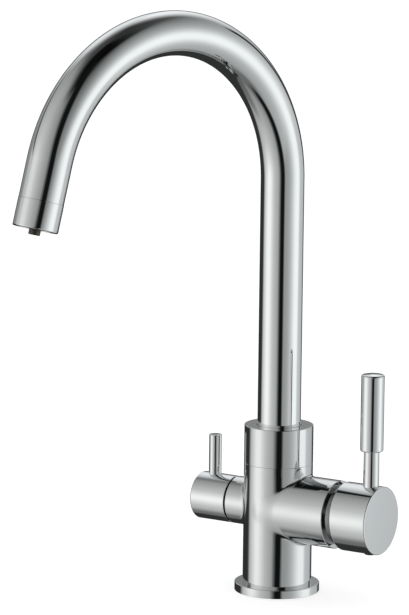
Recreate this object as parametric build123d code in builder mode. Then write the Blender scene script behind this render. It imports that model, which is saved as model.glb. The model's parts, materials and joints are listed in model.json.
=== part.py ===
from build123d import *
from math import cos, pi, radians, sin, sqrt
import os

# A three way kitchen tap: hot and cold water are mixed by a lever on the right-hand arm,
# filtered water is opened by a pin lever on the left-hand arm, and both leave through one
# swivelling spout, in two separate waterways. All sizes are in millimetres.
# The origin is the centre of the flange's underside, +Z is up, +X is the mixer arm and
# -Y is straight ahead, towards the person who uses the tap.

# ---- Clearances ----
FIT_GAP = 0.05          # around pieces that are pressed, screwed or soldered together
RUNNING_GAP = 0.06      # around a shaft or plug that turns in its bore
SLIDE_GAP = 0.1         # between flat faces that turn on each other
LAP_GAP = 0.02          # between lapped ceramic discs
FREE_GAP = 0.3          # between pieces that pass each other without touching

# ---- Foot ----
FLANGE_OVERHANG = 4.75  # flange beyond the body, all round
FLANGE_HEIGHT = 5.0
EDGE_BREAK = 0.4        # small chamfer on the outer edges of the turned pieces
SEAL_HEIGHT = 2.0
SEAL_LEDGE = 2.0        # flange metal inside the seal's groove
SEAL_RIM = 2.0          # flange metal outside the seal's groove
SPIGOT_RECESS = 0.5     # the body's spigot stops this far above the underside

# ---- Body and collar ----
ARM_HEIGHT = 50.5       # axis of both arms
SHOULDER = 6.3          # body above the top of the mixer arm
COLLAR_WALL = 3.25
COLLAR_PLATE = 4.5      # thickness of the collar's top
NECK_HEIGHT = 12.0
NECK_LEDGE = 1.7        # neck beyond the tail's flange
SEAM_CHAMFER = 0.15     # on both edges at the seam between body and collar
RIM_CHAMFER = 0.3       # on the arms' ends and the filter knob's rim
MIXER_ARM_FILLET = 2.0  # where the mixer arm meets the body
FILTER_ARM_FILLET = 1.5 # where the filter arm meets the body

# ---- Supply ports and studs in the underside ----
SUPPLY_PORT_RADIUS = 4.5    # tapping size of M10 x 1
FILTER_PORT_RADIUS = 3.5    # tapping size of M8 x 1
STUD_HOLE_RADIUS = 2.5      # tapping size of M6
PORT_DEPTH = 12.0
STUD_DEPTH = 14.0
PORT_WALL = 1.5             # spigot metal outside the supply ports and stud holes
FILTER_PORT_WALL = 2.5      # spigot metal outside the filtered port
SUPPLY_PORT_ANGLE = 43.0    # each side of the mixer arm
SUPPLY_BORE_RADIUS = 3.0
FILTER_BORE_RADIUS = 2.5

# ---- Spout ----
TUBE_RADIUS = 12.7
TUBE_WALL = 1.0
LEG_LENGTH = 145.2      # straight leg above the collar
BEND_RADIUS = 89.5      # to the centre line of the tube
BEND_ANGLE = 164.5
END_LENGTH = 38.0       # straight end, with the outlet sleeve
SPOUT_TURN = 15.0       # swung from straight ahead towards the filter arm

# ---- Spout swivel ----
SPOUT_BORE_RADIUS = 10.0
TAIL_LEDGE = 2.6        # tail's flange beyond the tube
TAIL_FLANGE = 3.4
TAIL_LENGTH = 16.0      # below its flange
TAIL_SOCKET = 8.0       # length of the tail inside the tube
TAIL_WALL = 2.1         # under the O-ring grooves
SWIVEL_RING = 1.0
SWIVEL_WASHER = 1.4
O_RING_SECTION = 0.9    # radius of the spout O-rings' section
O_RING_SPACING = 6.0

# ---- Filtered water line ----
LINE_RADIUS = 3.0
LINE_WALL = 1.0
LINE_SPIGOT = 8.0       # length of the plug and the nozzle inside the line
SOCKET_RADIUS = 3.8
SOCKET_DEPTH = 9.5
PLUG_LENGTH = 7.25
PLUG_RING_SECTION = 0.6
PLUG_RING_LAND = 1.6    # plug below its O-ring
WATER_BORE = 1.2        # radius of the way through the plug and the nozzle

# ---- Outlet ----
SLEEVE_LENGTH = 16.0
SLEEVE_STEP = 0.1       # sleeve beyond the tube
SLEEVE_LIP = 1.0
SLEEVE_LIP_WIDTH = 1.4
SLEEVE_ROUND = 0.8
ADAPTER_OVERLAP = 10.0  # adapter inside the tube
ADAPTER_THREAD = 8.0    # adapter inside the sleeve
ADAPTER_WALL = 2.15
AERATOR_WASHER = 1.5
SCREEN_THICKNESS = 0.5
SCREEN_HOLE_RADIUS = 0.55
SCREEN_PITCH = 1.8
SCREEN_ROWS = 3
AERATOR_RIM = 1.6
AERATOR_HUB = 1.5       # wall of the hub round the nozzle
AERATOR_SPOKE = 1.2
AERATOR_SPOKES = 6
NOZZLE_RADIUS = 3.3
NOZZLE_REACH = 3.0      # below the sleeve

# ---- Mixing cartridge, from its seat outwards ----
CARTRIDGE_RADIUS = 12.8
MIXER_SEAT = 14.0       # distance of the seat from the body's axis
CARTRIDGE_BASE = 3.0
PORT_CIRCLE = 6.0       # radius on which the three cartridge ports lie
CARTRIDGE_PORT_RADIUS = 2.0
PORT_SEAL_WIDTH = 1.2
PORT_SEAL_HEIGHT = 1.2
DISC_THICKNESS = 3.5
MOVING_DISC_RADIUS = 9.0
MIXING_POCKET_RADIUS = 4.5
MIXING_POCKET_DEPTH = 2.0
DISC_TRAVEL = 3.15      # how far the moving disc slides as the lever opens
DRIVER_PLATE = 1.5
DRIVER_TONGUE = 10.0    # width of the tongue that the carrier guides
CARRIER_LIFT = 1.0      # between the driver's plate and the carrier
CARRIER_DISC = 7.4
CARRIER_GROOVE = 4.0    # depth of the groove for the tongue
CARRIER_NECK_RADIUS = 8.5
CARRIER_EARS = 5.0      # neck beyond the lever's pivot
CARRIER_RING_SECTION = 0.6
HOUSING_WALL = 1.0
HOUSING_PLATE = 2.0
NUT_THREAD = 2.2        # nut beyond the cartridge
NUT_RECESS = 3.5
NUT_STAND = 1.0         # nut beyond the dome's seat
NUT_SLOT = 3.0
DOME_STEP = 2.5         # dome beyond the nut's thread
DOME_WALL = 1.5
DOME_SKIRT = 3.5
DOME_SHOW = 1.4         # part of the skirt outside the arm
DOME_REACH = 11.0       # from the pivot to the dome's mouth
PIVOT_PIN_RADIUS = 1.5
BRANCH_WALL = 2.5

# ---- Inner lever of the cartridge ----
BALL_RADIUS = 2.0
INNER_ROD_RADIUS = 1.5
LEVER_WIDTH = 6.0       # across the flats between the carrier's ears
LEVER_HEIGHT = 7.0
LEVER_HUB_RADIUS = 4.5  # round the pivot pin
SPINDLE_RADIUS = 4.0    # outer end, in the knob's socket
SPINDLE_RELIEF = 1.5    # between the carrier's ears and the outer end, for the tilt
SLOT_HALF_HEIGHT = 5.5  # of the carrier's slot, which leaves room for the lever's tilt

# ---- Mixer knob and lever ----
KNOB_GAP = 5.2          # visible gap between the arm and the knob, at mid height
KNOB_RIM_LEAN = 2.7     # degrees: the gap is wider at the bottom, where the knob tips in
KNOB_LENGTH = 23.4
KNOB_CAVITY = 11.2      # depth of the hollow round the dome
KNOB_SKIRT_GAP = 0.5    # between the dome and the hollow
KNOB_SOCKET = 7.0
GRUB_RADIUS = 2.5
GRUB_LENGTH = 7.0
GRUB_HEX = 2.5          # across flats
GRUB_HEX_DEPTH = 3.0
SCREW_PLUG_RADIUS = 3.0
SCREW_PLUG_LENGTH = 3.0     # inside the knob
SCREW_PLUG_PROUD = 0.7      # below the knob
LEVER_INSET = 7.2       # lever's axis behind the knob's end face
STEM_FOOT_RADIUS = 4.65
STEM_TOP_RADIUS = 4.45
STEM_SEAT = 1.5         # depth of the stem's seat in the knob
STEM_HEIGHT = 20.4      # visible length of the stem
STEM_THREAD_RADIUS = 3.0
STEM_THREAD_LENGTH = 8.5
GRIP_RADIUS = 6.75
GRIP_LENGTH = 45.5
GRIP_SOCKET = 10.0
GRIP_FOOT_ROUND = 0.8
GRIP_TOP_ROUND = 2.0
GRIP_DOME = 0.7         # rise of the grip's top

# ---- Filter valve, from its seat outwards ----
FILTER_SEAT = 15.0      # distance of the seat from the body's axis
SEAT_HOLE_RADIUS = 3.0
SEAT_SEAL = 1.2
SEAT_SEAL_WIDTH = 2.3
FILTER_DISC_RADIUS = 5.95
FILTER_DISC_THICKNESS = 2.5
FILTER_SLOT_RADIUS = 1.6
FILTER_SLOT_OFFSET = 3.2
FORK_FLANGE = 1.8
FORK_WIDTH = 3.0
FORK_DEPTH = 1.2
NOSE_WALL = 1.5
NOSE_LENGTH = 6.0
NOSE_CHANNEL = 1.5      # ring-shaped way round the nose
VALVE_THREAD = 1.0      # thread beyond that way
VALVE_THREAD_LENGTH = 7.4
VALVE_NECK_RADIUS = 6.0
VALVE_NECK_LENGTH = 7.6
WINDOW_WIDTH = 5.0
WINDOW_LENGTH = 2.0
FILTER_SPINDLE_RADIUS = 3.2
SPINDLE_RING_SECTION = 0.6
SPINDLE_RING_SPACING = 3.0
CLIP_THICKNESS = 0.8
CLIP_WIDTH = 2.4
CLIP_GROOVE = 0.6
FILTER_WALL = 4.0

# ---- Filter knob and pin lever ----
FILTER_KNOB_GAP = 1.0
FILTER_KNOB_LENGTH = 23.6
FILTER_KNOB_CAVITY = 10.0
FILTER_KNOB_WALL = 2.0
FILTER_KNOB_ROUND = 1.2
FILTER_SOCKET = 10.0
PIN_INSET = 9.0         # pin's axis behind the knob's end face
PIN_RADIUS = 3.75
PIN_SEAT = 1.5
PIN_HEIGHT = 23.5       # visible length above the knob
PIN_THREAD_RADIUS = 2.0
PIN_TOP_ROUND = 0.6

# ---- Passages that join the bores inside the body ----
MIXED_BORE_RADIUS = 2.2
MIXED_RISE_RADIUS = 2.0     # of the upright bore that it meets
MIXED_RISE_MARGIN = 0.6     # from the wall of the spout bore
FILTERED_BORE_RADIUS = 1.5
SUPPLY_CROSS_RADIUS = 2.2
BORE_OVERRUN = 0.5          # how far a bore runs past the one that it meets

# ---- Sizes that follow: radii ----
tail_flange_radius = TUBE_RADIUS + TAIL_LEDGE
neck_radius = tail_flange_radius + NECK_LEDGE
body_radius = neck_radius + COLLAR_WALL
spigot_radius = neck_radius
flange_radius = body_radius + FLANGE_OVERHANG
tube_bore = TUBE_RADIUS - TUBE_WALL
nut_radius = CARTRIDGE_RADIUS + NUT_THREAD
dome_radius = nut_radius + DOME_STEP
mixer_radius = dome_radius + BRANCH_WALL
knob_bore = dome_radius + KNOB_SKIRT_GAP
nose_radius = FILTER_DISC_RADIUS + FIT_GAP + NOSE_WALL
channel_radius = nose_radius + NOSE_CHANNEL
valve_radius = channel_radius + VALVE_THREAD
filter_radius = valve_radius + FILTER_WALL

# ---- Sizes that follow: heights of the swivel ----
seam_height = ARM_HEIGHT + mixer_radius + SHOULDER
neck_top = seam_height + NECK_HEIGHT
tail_flange_bottom = neck_top + SWIVEL_RING + SLIDE_GAP
tube_foot = tail_flange_bottom + TAIL_FLANGE
plate_bottom = tube_foot + SWIVEL_WASHER + SLIDE_GAP
collar_top = plate_bottom + COLLAR_PLATE
tail_radius = SPOUT_BORE_RADIUS - RUNNING_GAP
tail_bottom = tail_flange_bottom - TAIL_LENGTH
tail_bore = tail_radius - 2 * O_RING_SECTION - TAIL_WALL
filtered_passage_height = ARM_HEIGHT + (nose_radius + channel_radius) / 2
chamber_floor = filtered_passage_height + PLUG_LENGTH
socket_floor = chamber_floor - SOCKET_DEPTH
plug_bottom = filtered_passage_height + FILTERED_BORE_RADIUS + FREE_GAP
line_foot = plug_bottom + PLUG_LENGTH

# ---- Sizes that follow: stations along the mixer arm ----
fixed_disc_face = MIXER_SEAT + CARTRIDGE_BASE
moving_disc_face = fixed_disc_face + DISC_THICKNESS + LAP_GAP
driver_face = moving_disc_face + DISC_THICKNESS
carrier_face = driver_face + DRIVER_PLATE + CARRIER_LIFT
housing_plate_face = carrier_face + CARRIER_DISC + SLIDE_GAP
nut_face = housing_plate_face + HOUSING_PLATE
dome_seat = nut_face + NUT_RECESS
pivot = dome_seat + DOME_SKIRT
mixer_arm_end = pivot - DOME_SHOW
knob_rim = mixer_arm_end + KNOB_GAP
knob_end = knob_rim + KNOB_LENGTH
knob_floor = knob_rim + KNOB_CAVITY
lever_station = knob_end - LEVER_INSET
groove_floor = carrier_face + CARRIER_GROOVE
ball_station = (driver_face + DRIVER_PLATE + groove_floor) / 2
housing_bore = CARTRIDGE_RADIUS - HOUSING_WALL

# ---- Sizes that follow: stations along the filter arm ----
filter_disc_face = FILTER_SEAT + SEAT_SEAL
filter_moving_face = filter_disc_face + FILTER_DISC_THICKNESS + LAP_GAP
fork_face = filter_moving_face + FILTER_DISC_THICKNESS
disc_chamber_end = fork_face + FORK_FLANGE + SLIDE_GAP
nose_end = FILTER_SEAT + NOSE_LENGTH
filter_arm_end = nose_end + VALVE_THREAD_LENGTH
valve_neck_end = filter_arm_end + VALVE_NECK_LENGTH
filter_knob_rim = filter_arm_end + FILTER_KNOB_GAP
filter_knob_end = filter_knob_rim + FILTER_KNOB_LENGTH
filter_knob_floor = filter_knob_rim + FILTER_KNOB_CAVITY
pin_station = filter_knob_end - PIN_INSET
clip_station = valve_neck_end + SLIDE_GAP

# ---- Sizes that follow: the spout's path ----
bend_start = collar_top + LEG_LENGTH
turn = radians(SPOUT_TURN)
bend = radians(BEND_ANGLE)
ahead = Vector(-sin(turn), -cos(turn), 0)
up = Vector(0, 0, 1)
bend_end = ahead * (BEND_RADIUS * (1 - cos(bend))) + up * (bend_start + BEND_RADIUS * sin(bend))
tube_end = END_LENGTH - SLEEVE_LENGTH
nozzle_start = tube_end + ADAPTER_THREAD + AERATOR_WASHER

# ---- Planes ----
base_plane = Plane.XY
mixer_plane = Plane(origin=(0, 0, ARM_HEIGHT), x_dir=(0, 1, 0), z_dir=(1, 0, 0))
filter_plane = Plane(origin=(0, 0, ARM_HEIGHT), x_dir=(0, -1, 0), z_dir=(-1, 0, 0))
spout_plane = Plane(origin=(0, 0, 0), x_dir=ahead, z_dir=ahead.cross(up))
outlet_plane = Plane(origin=bend_end, z_dir=ahead * sin(bend) + up * cos(bend))
lever_plane = Plane(origin=(lever_station, 0, ARM_HEIGHT), x_dir=(1, 0, 0), z_dir=(0, 0, 1))
pin_plane = Plane(origin=(-pin_station, 0, ARM_HEIGHT), x_dir=(1, 0, 0), z_dir=(0, 0, 1))

os.makedirs("parts", exist_ok=True)


def turned(plane, start, end, outer, inner=0.0, mode=Mode.ADD):
    """A cylinder or ring about the plane's normal, between two distances along it."""
    with BuildSketch(plane.offset(start)) as section:
        Circle(outer)
        if inner:
            Circle(inner, mode=Mode.SUBTRACT)
    extrude(section.sketch, amount=end - start, mode=mode)


def bored(plane, start, end, radius):
    """A round hole about the plane's normal, between two distances along it."""
    turned(plane, start, end, radius, mode=Mode.SUBTRACT)


def ring_groove(plane, station, shaft_radius, section):
    """A groove in a shaft for a ring of round section that lies flush with the shaft."""
    half = section + FIT_GAP
    turned(plane, station - half, station + half, shaft_radius + FIT_GAP,
           shaft_radius - 2 * section - FIT_GAP, mode=Mode.SUBTRACT)


def rubber_ring(plane, station, shaft_radius, section):
    """A ring of round section in its groove, pressed flush with the shaft."""
    with Locations(plane.offset(station)):
        Torus(shaft_radius - section, section)


def moved_plane(plane, x, y):
    """The same plane with its origin moved in the plane."""
    return Plane(origin=plane.from_local_coords((x, y, 0)), x_dir=plane.x_dir, z_dir=plane.z_dir)


def spout_line(foot, end):
    """The spout's centre line, from a height in the leg to a distance along the end."""
    with BuildLine(spout_plane) as line:
        leg = Line((0, foot), (0, bend_start))
        arc = JernArc(leg @ 1, leg % 1, BEND_RADIUS, -BEND_ANGLE)
        Line(arc @ 1, (arc @ 1) + (arc % 1) * end)
    return line.line


def save(piece, name):
    """Labels a finished piece and writes its file."""
    piece.part.label = name
    export_step(piece.part, f"parts/{name}.step")


# ---- Foot ----

seal_inner = spigot_radius + FIT_GAP + SEAL_LEDGE
seal_outer = flange_radius - SEAL_RIM

with BuildPart() as base_flange:
    turned(base_plane, 0, FLANGE_HEIGHT, flange_radius, spigot_radius + FIT_GAP)
    chamfer(base_flange.edges().group_by(Axis.Z)[-1].sort_by(SortBy.RADIUS)[-1], EDGE_BREAK)
    turned(base_plane, 0, SEAL_HEIGHT, seal_outer, seal_inner, mode=Mode.SUBTRACT)
save(base_flange, "base_flange")

with BuildPart() as base_seal:
    turned(base_plane, 0, SEAL_HEIGHT, seal_outer - FIT_GAP, seal_inner + FIT_GAP)
save(base_seal, "base_seal")

# ---- Body ----

supply_distance = spigot_radius - PORT_WALL - SUPPLY_PORT_RADIUS
supply_x = supply_distance * cos(radians(SUPPLY_PORT_ANGLE))
supply_y = supply_distance * sin(radians(SUPPLY_PORT_ANGLE))
filter_port_x = -(spigot_radius - FILTER_PORT_WALL - FILTER_PORT_RADIUS)
stud_distance = spigot_radius - PORT_WALL - STUD_HOLE_RADIUS
cross_y = PORT_CIRCLE * cos(radians(30))
cross_z = -PORT_CIRCLE * sin(radians(30))
supply_top = ARM_HEIGHT + cross_z + SUPPLY_CROSS_RADIUS + BORE_OVERRUN
mixed_x = SPOUT_BORE_RADIUS - MIXED_RISE_MARGIN - MIXED_RISE_RADIUS
mixed_start = mixed_x - MIXED_RISE_RADIUS - BORE_OVERRUN
seat_hole_start = -filter_port_x - FILTER_BORE_RADIUS - BORE_OVERRUN

with BuildPart() as body_casting:
    turned(base_plane, SPIGOT_RECESS, FLANGE_HEIGHT, spigot_radius)
    turned(base_plane, FLANGE_HEIGHT, seam_height, body_radius)
    chamfer(body_casting.edges().group_by(Axis.Z)[-1], SEAM_CHAMFER)
    turned(base_plane, seam_height, neck_top, neck_radius)
    turned(mixer_plane, 0, mixer_arm_end, mixer_radius)
    fillet(body_casting.edges().filter_by(GeomType.BSPLINE), MIXER_ARM_FILLET)
    chamfer(body_casting.edges().group_by(Axis.X)[-1], RIM_CHAMFER)
    smooth_edges = body_casting.edges()
    turned(filter_plane, 0, filter_arm_end, filter_radius)
    fillet((body_casting.edges() - smooth_edges).filter_by(GeomType.BSPLINE), FILTER_ARM_FILLET)
    chamfer(body_casting.edges().group_by(Axis.X)[0], RIM_CHAMFER)
    # spout bore, with the socket of the filtered line in its floor
    bored(base_plane, chamber_floor, neck_top, SPOUT_BORE_RADIUS)
    bored(base_plane, socket_floor, chamber_floor, SOCKET_RADIUS)
    # stepped bore of the mixer arm
    bored(mixer_plane, MIXER_SEAT, mixer_arm_end, CARTRIDGE_RADIUS + FIT_GAP)
    bored(mixer_plane, nut_face - SLIDE_GAP, mixer_arm_end, nut_radius + FIT_GAP)
    bored(mixer_plane, dome_seat, mixer_arm_end, dome_radius + FIT_GAP)
    # stepped bore of the filter arm
    bored(filter_plane, FILTER_SEAT, filter_arm_end, channel_radius)
    bored(filter_plane, nose_end, filter_arm_end, valve_radius + FIT_GAP)
    # hot and cold supplies, up and then across to the cartridge
    for side in (-1, 1):
        supply_plane = moved_plane(base_plane, supply_x, side * supply_y)
        bored(supply_plane, SPIGOT_RECESS, SPIGOT_RECESS + PORT_DEPTH, SUPPLY_PORT_RADIUS)
        bored(supply_plane, SPIGOT_RECESS, supply_top, SUPPLY_BORE_RADIUS)
        cross_plane = moved_plane(mixer_plane, side * cross_y, cross_z)
        bored(cross_plane, supply_x, MIXER_SEAT, SUPPLY_CROSS_RADIUS)
    # mixed water, back from the cartridge and up to the spout
    mixed_plane = moved_plane(mixer_plane, 0, PORT_CIRCLE)
    bored(mixed_plane, mixed_start, MIXER_SEAT, MIXED_BORE_RADIUS)
    rise_plane = moved_plane(base_plane, mixed_x, 0)
    bored(rise_plane, ARM_HEIGHT + PORT_CIRCLE, chamber_floor, MIXED_RISE_RADIUS)
    # filtered supply, up and through the valve's seat
    filter_supply_plane = moved_plane(base_plane, filter_port_x, 0)
    bored(filter_supply_plane, SPIGOT_RECESS, SPIGOT_RECESS + PORT_DEPTH, FILTER_PORT_RADIUS)
    bored(filter_supply_plane, SPIGOT_RECESS, ARM_HEIGHT, FILTER_BORE_RADIUS)
    bored(filter_plane, seat_hole_start, FILTER_SEAT, SEAT_HOLE_RADIUS)
    # filtered water, back from the ring round the valve's nose to the socket
    filtered_plane = moved_plane(filter_plane, 0, filtered_passage_height - ARM_HEIGHT)
    bored(filtered_plane, 0, nose_end, FILTERED_BORE_RADIUS)
    # holes for the two fixing studs
    for side in (-1, 1):
        stud_plane = moved_plane(base_plane, 0, side * stud_distance)
        bored(stud_plane, SPIGOT_RECESS, SPIGOT_RECESS + STUD_DEPTH, STUD_HOLE_RADIUS)
save(body_casting, "body_casting")

with BuildPart() as spout_collar:
    turned(base_plane, seam_height, collar_top, body_radius)
    chamfer(spout_collar.edges().group_by(Axis.Z)[0], SEAM_CHAMFER)
    chamfer(spout_collar.edges().group_by(Axis.Z)[-1], EDGE_BREAK)
    bored(base_plane, seam_height, plate_bottom, neck_radius + FIT_GAP)
    bored(base_plane, plate_bottom, collar_top, TUBE_RADIUS + FREE_GAP)
save(spout_collar, "spout_collar")

# ---- Spout and its swivel ----

with BuildPart() as swivel_ring:
    turned(base_plane, neck_top, neck_top + SWIVEL_RING, tail_flange_radius,
           SPOUT_BORE_RADIUS + FREE_GAP)
save(swivel_ring, "swivel_ring")

with BuildPart() as swivel_washer:
    turned(base_plane, tube_foot, tube_foot + SWIVEL_WASHER, tail_flange_radius,
           TUBE_RADIUS + FIT_GAP)
save(swivel_washer, "swivel_washer")

lower_ring = tail_bottom + 2 * O_RING_SECTION + TAIL_WALL
ring_stations = [lower_ring, lower_ring + O_RING_SPACING]

with BuildPart() as spout_tail:
    turned(base_plane, tail_bottom, tail_flange_bottom, tail_radius)
    turned(base_plane, tail_flange_bottom, tube_foot, tail_flange_radius)
    turned(base_plane, tube_foot, tube_foot + TAIL_SOCKET, tube_bore - FIT_GAP)
    bored(base_plane, tail_bottom, tube_foot + TAIL_SOCKET, tail_bore)
    for station in ring_stations:
        ring_groove(base_plane, station, tail_radius, O_RING_SECTION)
save(spout_tail, "spout_tail")

with BuildPart() as spout_o_rings:
    for station in ring_stations:
        rubber_ring(base_plane, station, tail_radius, O_RING_SECTION)
save(spout_o_rings, "spout_o_rings")

with BuildPart() as spout_tube:
    with BuildSketch(base_plane.offset(tube_foot)) as tube_section:
        Circle(TUBE_RADIUS)
        Circle(tube_bore, mode=Mode.SUBTRACT)
    sweep(tube_section.sketch, path=spout_line(tube_foot, tube_end))
save(spout_tube, "spout_tube")

# ---- Filtered water line ----

plug_radius = SOCKET_RADIUS - RUNNING_GAP
plug_ring_station = plug_bottom + PLUG_RING_LAND + PLUG_RING_SECTION
line_bore = LINE_RADIUS - LINE_WALL

with BuildPart() as filtered_line_plug:
    turned(base_plane, plug_bottom, line_foot, plug_radius)
    turned(base_plane, line_foot, line_foot + LINE_SPIGOT, line_bore - FIT_GAP)
    bored(base_plane, plug_bottom, line_foot + LINE_SPIGOT, WATER_BORE)
    ring_groove(base_plane, plug_ring_station, plug_radius, PLUG_RING_SECTION)
save(filtered_line_plug, "filtered_line_plug")

with BuildPart() as line_plug_o_ring:
    rubber_ring(base_plane, plug_ring_station, plug_radius, PLUG_RING_SECTION)
save(line_plug_o_ring, "line_plug_o_ring")

with BuildPart() as filtered_water_line:
    with BuildSketch(base_plane.offset(line_foot)) as line_section:
        Circle(LINE_RADIUS)
        Circle(line_bore, mode=Mode.SUBTRACT)
    sweep(line_section.sketch, path=spout_line(line_foot, nozzle_start))
save(filtered_water_line, "filtered_water_line")

# ---- Outlet ----

washer_start = tube_end + ADAPTER_THREAD
screen_end = nozzle_start + SCREEN_THICKNESS
lip_start = END_LENGTH - SLEEVE_LIP
insert_radius = tube_bore - FIT_GAP
adapter_bore = insert_radius - ADAPTER_WALL
hub_radius = NOZZLE_RADIUS + FIT_GAP + AERATOR_HUB

with BuildPart() as outlet_adapter:
    turned(outlet_plane, tube_end - ADAPTER_OVERLAP, washer_start, insert_radius, adapter_bore)
save(outlet_adapter, "outlet_adapter")

with BuildPart() as outlet_sleeve:
    turned(outlet_plane, tube_end, END_LENGTH, TUBE_RADIUS + SLEEVE_STEP)
    fillet(outlet_sleeve.edges().filter_by(GeomType.CIRCLE).sort_by(Axis.Z)[0], SLEEVE_ROUND)
    chamfer(outlet_sleeve.edges().filter_by(GeomType.CIRCLE).sort_by(Axis.Z)[-1], EDGE_BREAK / 2)
    bored(outlet_plane, tube_end, lip_start, tube_bore)
    bored(outlet_plane, lip_start, END_LENGTH, tube_bore - SLEEVE_LIP_WIDTH)
save(outlet_sleeve, "outlet_sleeve")

with BuildPart() as aerator_washer:
    turned(outlet_plane, washer_start, nozzle_start, insert_radius, adapter_bore)
save(aerator_washer, "aerator_washer")

with BuildPart() as aerator_screen:
    turned(outlet_plane, nozzle_start, screen_end, insert_radius, NOZZLE_RADIUS + FIT_GAP)
    with BuildSketch(outlet_plane.offset(nozzle_start)) as screen_holes:
        for row in range(1, SCREEN_ROWS + 1):
            row_radius = NOZZLE_RADIUS + row * SCREEN_PITCH
            with PolarLocations(row_radius, int(2 * pi * row_radius / SCREEN_PITCH)):
                Circle(SCREEN_HOLE_RADIUS)
    extrude(screen_holes.sketch, amount=SCREEN_THICKNESS, mode=Mode.SUBTRACT)
save(aerator_screen, "aerator_screen")

with BuildPart() as aerator_body:
    turned(outlet_plane, screen_end, lip_start, insert_radius, insert_radius - AERATOR_RIM)
    turned(outlet_plane, screen_end, lip_start, hub_radius)
    spoke_length = insert_radius - AERATOR_RIM / 2 - hub_radius + AERATOR_HUB / 2
    with BuildSketch(outlet_plane.offset(screen_end)) as spokes:
        with PolarLocations(hub_radius - AERATOR_HUB / 2 + spoke_length / 2, AERATOR_SPOKES):
            Rectangle(spoke_length, AERATOR_SPOKE)
    extrude(spokes.sketch, amount=lip_start - screen_end)
    bored(outlet_plane, screen_end, lip_start, NOZZLE_RADIUS + FIT_GAP)
save(aerator_body, "aerator_body")

with BuildPart() as filtered_nozzle:
    turned(outlet_plane, nozzle_start, END_LENGTH + NOZZLE_REACH, NOZZLE_RADIUS)
    chamfer(filtered_nozzle.edges().filter_by(GeomType.CIRCLE).sort_by(Axis.Z)[0], EDGE_BREAK)
    turned(outlet_plane, nozzle_start - LINE_SPIGOT, nozzle_start, line_bore - FIT_GAP)
    bored(outlet_plane, nozzle_start - LINE_SPIGOT, END_LENGTH + NOZZLE_REACH, WATER_BORE)
save(filtered_nozzle, "filtered_nozzle")

# ---- Mixing cartridge ----

seal_radius = CARTRIDGE_PORT_RADIUS + PORT_SEAL_WIDTH
disc_centre = -DISC_TRAVEL / 2

with BuildPart() as cartridge_base:
    turned(mixer_plane, MIXER_SEAT, fixed_disc_face, CARTRIDGE_RADIUS)
    with BuildSketch(mixer_plane.offset(MIXER_SEAT)) as base_ports:
        with PolarLocations(PORT_CIRCLE, 3, start_angle=90):
            Circle(CARTRIDGE_PORT_RADIUS)
    extrude(base_ports.sketch, amount=CARTRIDGE_BASE, mode=Mode.SUBTRACT)
    with BuildSketch(mixer_plane.offset(MIXER_SEAT)) as seal_pockets:
        with PolarLocations(PORT_CIRCLE, 3, start_angle=90):
            Circle(seal_radius + FIT_GAP)
    extrude(seal_pockets.sketch, amount=PORT_SEAL_HEIGHT, mode=Mode.SUBTRACT)
save(cartridge_base, "cartridge_base")

with BuildPart() as cartridge_port_seals:
    with BuildSketch(mixer_plane.offset(MIXER_SEAT)) as seal_rings:
        with PolarLocations(PORT_CIRCLE, 3, start_angle=90):
            Circle(seal_radius)
            Circle(CARTRIDGE_PORT_RADIUS, mode=Mode.SUBTRACT)
    extrude(seal_rings.sketch, amount=PORT_SEAL_HEIGHT)
save(cartridge_port_seals, "cartridge_port_seals")

with BuildPart() as fixed_mixing_disc:
    turned(mixer_plane, fixed_disc_face, fixed_disc_face + DISC_THICKNESS, housing_bore - FIT_GAP)
    with BuildSketch(mixer_plane.offset(fixed_disc_face)) as disc_ports:
        with PolarLocations(PORT_CIRCLE, 3, start_angle=90):
            Circle(CARTRIDGE_PORT_RADIUS)
    extrude(disc_ports.sketch, amount=DISC_THICKNESS, mode=Mode.SUBTRACT)
save(fixed_mixing_disc, "fixed_mixing_disc")

disc_plane = moved_plane(mixer_plane, 0, disc_centre)

with BuildPart() as moving_mixing_disc:
    turned(disc_plane, moving_disc_face, driver_face, MOVING_DISC_RADIUS)
    bored(disc_plane, moving_disc_face, moving_disc_face + MIXING_POCKET_DEPTH,
          MIXING_POCKET_RADIUS)
save(moving_mixing_disc, "moving_mixing_disc")

tongue_length = 2 * sqrt(MOVING_DISC_RADIUS ** 2 - (DRIVER_TONGUE / 2) ** 2)

with BuildPart() as disc_driver:
    turned(disc_plane, driver_face, driver_face + DRIVER_PLATE, MOVING_DISC_RADIUS)
    with BuildSketch(disc_plane.offset(driver_face + DRIVER_PLATE)) as tongue:
        Rectangle(DRIVER_TONGUE, tongue_length)
    extrude(tongue.sketch, amount=groove_floor - FREE_GAP - driver_face - DRIVER_PLATE)
    bored(mixer_plane, ball_station - BALL_RADIUS - FREE_GAP, groove_floor,
          BALL_RADIUS + FREE_GAP)
save(disc_driver, "disc_driver")

with BuildPart() as cartridge_housing:
    turned(mixer_plane, fixed_disc_face, nut_face, CARTRIDGE_RADIUS)
    bored(mixer_plane, fixed_disc_face, housing_plate_face, housing_bore)
    bored(mixer_plane, housing_plate_face, nut_face, CARRIER_NECK_RADIUS + RUNNING_GAP)
save(cartridge_housing, "cartridge_housing")

carrier_ring_station = (housing_plate_face + nut_face) / 2
carrier_end = pivot + CARRIER_EARS
pivot_plane = Plane(origin=(pivot, 0, ARM_HEIGHT), x_dir=(1, 0, 0), z_dir=(0, -1, 0))
pin_half = sqrt(CARRIER_NECK_RADIUS ** 2 - PIVOT_PIN_RADIUS ** 2) - FREE_GAP

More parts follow.
